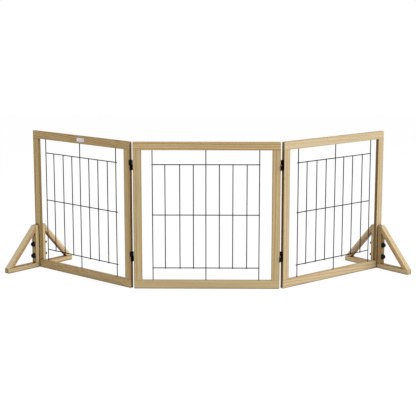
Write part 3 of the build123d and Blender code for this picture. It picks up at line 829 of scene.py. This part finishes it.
for side in ("left", "right"):
    nutMeshes = []
    for level in ("lower", "upper"):
        place, outwardHere = boltFrame(side, level)
        name = f"{side}_{level}"
        mesh = latheMesh(name + "_dome_knob", knobRings(), knobSizes["segments"])
        standOn(mesh, place + outwardHere * knobSizes["seatGap"], outwardHere)
        smoothByAngle(mesh, knobSizes["smoothAngle"])
        finishPiece(meshObject(name + "_dome_knob", mesh), name + "_knob",
                    [name + "_knob"], knobBlack)
        dress(name + "_bolt", makeThreadedSteel(name + "_thread", outwardHere, place))
        nut = latheMesh(name + "_nut", nutRings(), nutSizes["segments"], hexCut)
        nutPlace = 2 * (halfThickness + footDepth)
        standOn(nut, place - outwardHere * nutPlace, -outwardHere)
        nutMeshes.append(nut)
    joined = bmesh.new()
    for nut in nutMeshes:
        joined.from_mesh(nut)
    mesh = meshFrom(joined, side + "_acorn_nuts")
    smoothByAngle(mesh, nutSizes["smoothAngle"])
    finishPiece(meshObject(side + "_acorn_nuts", mesh), side + "_panel",
                [side + "_cap_nuts"], nutBlack)
print("knobs and nuts")


# Wire grids: straight wires and a weld nugget at each crossing

gridSizes = {
    "diameter": 4.0 * mm,
    "weldDepth": 0.4 * mm,
    "overhang": 2.8 * mm,
    "seatDepth": 8 * mm,
    "wideMargin": 51.5 * mm,
    "narrowMargin": 44.5 * mm,
    "shares": (51.5, 60, 55.5, 51, 55, 55, 57.5, 50.5),
    "lowRise": 50 * mm,
    "highDrop": 60 * mm,
    "middleShare": 0.516,
    "tallEvery": 4,              # every fourth upright wire runs on into both rails
    "segments": 20,
    "nuggetRadius": 2.15 * mm,
    "nuggetSegments": 16,
    "nuggetRings": 10,
}


def gridPlaces(side):
    size = gridSizes
    shares = size["shares"]
    margins = [size["narrowMargin"], size["wideMargin"]]
    if side == "right":
        shares = shares[::-1]
        margins.reverse()
    opening = panelWidth - 2 * stileWidth
    x = panelMiddle(side) - opening / 2 + margins[0]
    span = opening - sum(margins)
    places = [x]
    for share in shares:
        x += span * share / sum(shares)
        places.append(x)
    low = bottomRailHeight + size["lowRise"]
    high = panelHeight - topRailHeight - size["highDrop"]
    return places, (low, low + (high - low) * size["middleShare"], high)


def makeGridTree(material):
    tree = bpy.data.node_groups.new("weldedGrid", "GeometryNodeTree")
    face = tree.interface
    face.new_socket(name="Lines", in_out="INPUT", socket_type="NodeSocketGeometry")
    radii = {"Wire Radius": gridSizes["diameter"] / 2, "Nugget Radius": gridSizes["nuggetRadius"]}
    for name, value in radii.items():
        face.new_socket(name=name, in_out="INPUT", socket_type="NodeSocketFloat").default_value = value
    face.new_socket(name="Grid", in_out="OUTPUT", socket_type="NodeSocketGeometry")
    given = addNode(tree, "NodeGroupInput").outputs
    out = addNode(tree, "NodeGroupOutput").inputs
    # Edges are wires, loose points are welds
    wires = addNode(tree, "GeometryNodeMeshToCurve", None, {"Mesh": given["Lines"]}).outputs[0]
    profile = addNode(tree, "GeometryNodeCurvePrimitiveCircle", None, {
        "Resolution": gridSizes["segments"], "Radius": given["Wire Radius"]}).outputs[0]
    tubes = addNode(tree, "GeometryNodeCurveToMesh", None, {
        "Curve": wires, "Profile Curve": profile, "Fill Caps": True}).outputs[0]
    neighbours = addNode(tree, "GeometryNodeInputMeshVertexNeighbors").outputs["Vertex Count"]
    loose = addNode(tree, "FunctionNodeCompare", {"data_type": "INT", "operation": "EQUAL"},
                    {2: neighbours, 3: 0})
    points = addNode(tree, "GeometryNodeMeshToPoints", None, {
        "Mesh": given["Lines"], "Selection": loose.outputs[0]}).outputs[0]
    nugget = addNode(tree, "GeometryNodeMeshUVSphere", None, {
        "Segments": gridSizes["nuggetSegments"], "Rings": gridSizes["nuggetRings"],
        "Radius": given["Nugget Radius"]}).outputs[0]
    welds = addNode(tree, "GeometryNodeInstanceOnPoints", None, {
        "Points": points, "Instance": nugget}).outputs[0]
    joined = addNode(tree, "GeometryNodeJoinGeometry")
    tree.links.new(tubes, joined.inputs[0])
    tree.links.new(welds, joined.inputs[0])
    smooth = addNode(tree, "GeometryNodeSetShadeSmooth", None, {"Geometry": joined.outputs[0]}).outputs[0]
    real = addNode(tree, "GeometryNodeRealizeInstances", None, {"Geometry": smooth}).outputs[0]
    coated = addNode(tree, "GeometryNodeSetMaterial", None, {
        "Geometry": real, "Material": material}).outputs[0]
    tree.links.new(coated, out["Grid"])
    return tree


def gridLines(side):
    size = gridSizes
    places, crossings = gridPlaces(side)
    front = -(size["diameter"] - size["weldDepth"]) / 2
    back = -front
    work = bmesh.new()
    for index, x in enumerate(places):
        low = crossings[0] - size["overhang"]
        high = crossings[2] + size["overhang"]
        if index % size["tallEvery"] == 0:
            low = bottomRailHeight - size["seatDepth"]
            high = panelHeight - topRailHeight + size["seatDepth"]
        work.edges.new((work.verts.new((x, front, low)), work.verts.new((x, front, high))))
    for z in crossings:
        ends = places[0] - size["overhang"], places[-1] + size["overhang"]
        work.edges.new([work.verts.new((x, back, z)) for x in ends])
        for x in places:
            work.verts.new((x, 0, z))
    return meshFrom(work, side + "_grid_lines")


gridTree = makeGridTree(wireBlack)


def makeGrid(side):
    name = side + "_welded_grid"
    source = meshObject(name + "_source", gridLines(side))
    modifier = source.modifiers.new("weldedGrid", "NODES")
    modifier.node_group = gridTree
    graph = bpy.context.evaluated_depsgraph_get()
    mesh = bpy.data.meshes.new_from_object(source.evaluated_get(graph))
    bpy.data.objects.remove(source)
    mesh.name = name
    mesh.transform(foldTurn(side))
    piece = meshObject(name, mesh)
    finishPiece(piece, side + "_panel", [side + "_panel_wire_grid"])
    low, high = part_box(side + "_panel_wire_grid")
    corners = [Vector(vertex.co) for vertex in mesh.vertices]
    offset = max(abs(min(c[axis] for c in corners) - low[axis]) for axis in range(3))
    print(name, len(mesh.polygons), "faces, off the CAD box by", round(offset / mm, 3), "mm")


for side in ("left", "centre", "right"):
    makeGrid(side)


# Name plate: bare, with a raised rim and two small pins

plateSizes = {
    "width": 46 * mm,
    "height": 17 * mm,
    "thickness": 0.8 * mm,
    "corner": 2 * mm,
    "cornerSteps": 6,
    # The rounded rim: inset from the outline in mm, and share of the thickness
    "rimSteps": ((0, 0), (0, 0.62), (0.12, 0.86), (0.3, 1.0), (0.65, 1.0)),
    "rim": 0.9,
    "recess": 0.18 * mm,
    "pinRadius": 0.9 * mm,
    "pinFoot": 0.05 * mm,
    "pinHeight": 0.18 * mm,
    "pinFromEnd": 3 * mm,
    "pinSegments": 20,
    "pinSteps": 6,
    "offset": 9 * mm,            # from the panel's middle
    "smoothAngle": 40,
}


def roundedLoop(work, width, height, corner, depth):
    loop = []
    for centreX, centreZ, start in ((1, 1, 0), (-1, 1, pi / 2), (-1, -1, pi), (1, -1, 3 * pi / 2)):
        for step in range(plateSizes["cornerSteps"] + 1):
            angle = start + pi / 2 * step / plateSizes["cornerSteps"]
            x = centreX * (width / 2 - corner) + corner * cos(angle)
            z = centreZ * (height / 2 - corner) + corner * sin(angle)
            loop.append(work.verts.new((x, depth, z)))
    return loop


def makePlate(material):
    size = plateSizes
    work = bmesh.new()
    # From the back round the edge to the field, each loop inset from the outline
    loops = []
    for inset, share in (*size["rimSteps"], (size["rim"], 1 - size["recess"] / size["thickness"])):
        inset *= mm
        loops.append(roundedLoop(work, size["width"] - 2 * inset, size["height"] - 2 * inset,
                                 size["corner"] - inset, -size["thickness"] * share))
    for lower, upper in zip(loops, loops[1:]):
        for index in range(len(lower)):
            after = (index + 1) % len(lower)
            work.faces.new((lower[index], lower[after], upper[after], upper[index]))
    work.faces.new(loops[-1])
    work.faces.new(loops[0][::-1])
    bmesh.ops.recalc_face_normals(work, faces=work.faces)
    pinRings = [(0, 0), (size["pinRadius"], 0), (size["pinRadius"], size["pinFoot"])]
    domeHeight = size["pinHeight"] - size["pinFoot"]
    for step in range(1, size["pinSteps"]):
        angle = pi / 2 * step / size["pinSteps"]
        pinRings.append((size["pinRadius"] * cos(angle), size["pinFoot"] + domeHeight * sin(angle)))
    pinRings.append((0, size["pinHeight"]))
    for sign in (-1, 1):
        pin = latheMesh("plate_pin", pinRings, size["pinSegments"])
        x = sign * (size["width"] / 2 - size["pinFromEnd"])
        standOn(pin, Vector((x, -size["thickness"] + size["recess"], 0)), outward)
        work.from_mesh(pin)
    mesh = meshFrom(work, "bare_plate")
    place = Vector((panelMiddle("left") + size["offset"], -halfThickness, panelHeight - topRailHeight / 2))
    mesh.transform(foldTurn("left") @ Matrix.Translation(place))
    smoothByAngle(mesh, size["smoothAngle"])
    finishPiece(meshObject("bare_plate", mesh), "left_panel", ["name_plate"], material)


plateLook = {
    "color": tint(217, 217, 226),
    "metallic": 0.55,
    "brushScale": (60, 60, 5200),    # along the plate, through it and up it
    "cloudScale": (90, 90, 90),
    "brushStrength": 0.18,
}


def makePlateMetal():
    look = plateLook
    material, tree, shader = newMaterial("plateMetal", Metallic=look["metallic"])
    unfolded = foldTurn("left").to_3x3().transposed()
    place = addNode(tree, "ShaderNodeMapping", None, {
        "Vector": addNode(tree, "ShaderNodeTexCoord").outputs["Object"],
        "Rotation": unfolded.to_euler()}).outputs[0]
    brushed = noise(tree, place, look["brushScale"], 3.0, 0.6)
    cloud = noise(tree, place, look["cloudScale"], 2.0)
    shade = mathNode(tree, "MULTIPLY_ADD", mathNode(tree, "SUBTRACT", brushed, 0.5), look["brushStrength"],
                     mapRange(tree, cloud, 0.3, 0.7, 0.96, 1.03))
    tree.links.new(shadeColor(tree, look["color"], shade), shader.inputs["Base Color"])
    tree.links.new(mapRange(tree, brushed, 0.3, 0.7, 0.34, 0.5), shader.inputs["Roughness"])
    addBump(tree, shader, brushed, 0.3, 0.02 * mm)
    return material


makePlate(makePlateMetal())
print("name plate")


# Floor, light and camera

studio = {
    "floorSize": 14.0,
    "floorDrop": 0.5 * mm,
    "floorWhite": 0.9,
    "floorGlow": 1.026,        # as the camera sees it, so that it meets the white background
    "floorGlowShare": 0.9,     # the rest takes the shadows
    # Broad glows of the surroundings: direction and colour, plus one that is the same all round
    "allRound": (0.31, 0.31, 0.31),
    "glows": [((1, 0, 0), (1.15, 1.15, 1.15)), ((0, 0, 1), (0.2, 0.195, 0.19))],
    # Soft boxes: name, power, size, place
    "lamps": [("sideLamp", 78.0, 2.4, (3.4, -0.6, 3.0)), ("topLamp", 40.0, 2.4, (0.2, -1.4, 4.4))],
    "lampAim": (0, 0.1, 0.25),
}


def seenShare(tree):
    # 1 where the camera sees it, straight or in gloss or glass
    seen = addNode(tree, "ShaderNodeLightPath").outputs
    return mathNode(tree, "MAXIMUM", seen["Is Camera Ray"],
                    mathNode(tree, "MAXIMUM", seen["Is Glossy Ray"], seen["Is Transmission Ray"]))


def makeFloor():
    work = bmesh.new()
    half = studio["floorSize"] / 2
    corners = [(-half, -half), (half, -half), (half, half), (-half, half)]
    work.faces.new([work.verts.new((x, y, 0)) for x, y in corners])
    mesh = meshFrom(work, "floor")
    floor = meshObject("floor", mesh)
    floor.location.z = -studio["floorDrop"]
    material = bpy.data.materials.new("paleFloor")
    material.use_nodes = True
    tree = material.node_tree
    tree.nodes.clear()
    white = (studio["floorWhite"],) * 3 + (1.0,)
    matt = addNode(tree, "ShaderNodeBsdfDiffuse", None, {"Color": white}).outputs[0]
    glow = addNode(tree, "ShaderNodeEmission", None, {
        "Color": (1, 1, 1, 1), "Strength": studio["floorGlow"]}).outputs[0]
    share = mathNode(tree, "MULTIPLY", seenShare(tree), studio["floorGlowShare"])
    mix = addNode(tree, "ShaderNodeMixShader", None, {0: share, 1: matt, 2: glow}).outputs[0]
    output = addNode(tree, "ShaderNodeOutputMaterial")
    tree.links.new(mix, output.inputs[0])
    mesh.materials.append(material)


def makeWorld():
    world = bpy.data.worlds.new("studio")
    scene.world = world
    world.use_nodes = True
    tree = world.node_tree
    tree.nodes.clear()
    way = addNode(tree, "ShaderNodeTexCoord").outputs["Generated"]
    level = studio["allRound"]
    for direction, color in studio["glows"]:
        facing = vectorNode(tree, "DOT_PRODUCT", way, Vector(direction).normalized())
        share = mathNode(tree, "MAXIMUM", facing, 0.0)
        glow = vectorNode(tree, "MULTIPLY", color, addNode(tree, "ShaderNodeCombineXYZ", None, {
            0: share, 1: share, 2: share}).outputs[0])
        level = vectorNode(tree, "ADD", glow, level)
    color = mixColor(tree, seenShare(tree), level, (1, 1, 1, 1))
    glow = addNode(tree, "ShaderNodeBackground", None, {"Color": color, "Strength": 1.0}).outputs[0]
    output = addNode(tree, "ShaderNodeOutputWorld")
    tree.links.new(glow, output.inputs[0])


def makeLamps():
    for name, power, size, place in studio["lamps"]:
        lamp = bpy.data.lights.new(name, "AREA")
        lamp.energy = power
        lamp.shape = "SQUARE"
        lamp.size = size
        holder = bpy.data.objects.new(name, lamp)
        scene.collection.objects.link(holder)
        holder.location = place
        aim = Vector(studio["lampAim"]) - holder.location
        holder.rotation_euler = aim.to_track_quat("-Z", "Y").to_euler()


cameraPlace = {
    "location": (0.0635, -4.578, 1.19),
    "tiltDown": 0.184,
    "turn": 0.01275,
    "lens": 98.74,
    "sensor": 36,
}


def makeCamera():
    data = bpy.data.cameras.new("camera")
    data.lens = cameraPlace["lens"]
    data.sensor_width = cameraPlace["sensor"]
    holder = bpy.data.objects.new("camera", data)
    scene.collection.objects.link(holder)
    holder.location = cameraPlace["location"]
    holder.rotation_euler = (pi / 2 - cameraPlace["tiltDown"], 0, cameraPlace["turn"])
    scene.camera = holder


makeFloor()
makeWorld()
makeLamps()
makeCamera()
scene.view_settings.view_transform = "Standard"
print("studio")
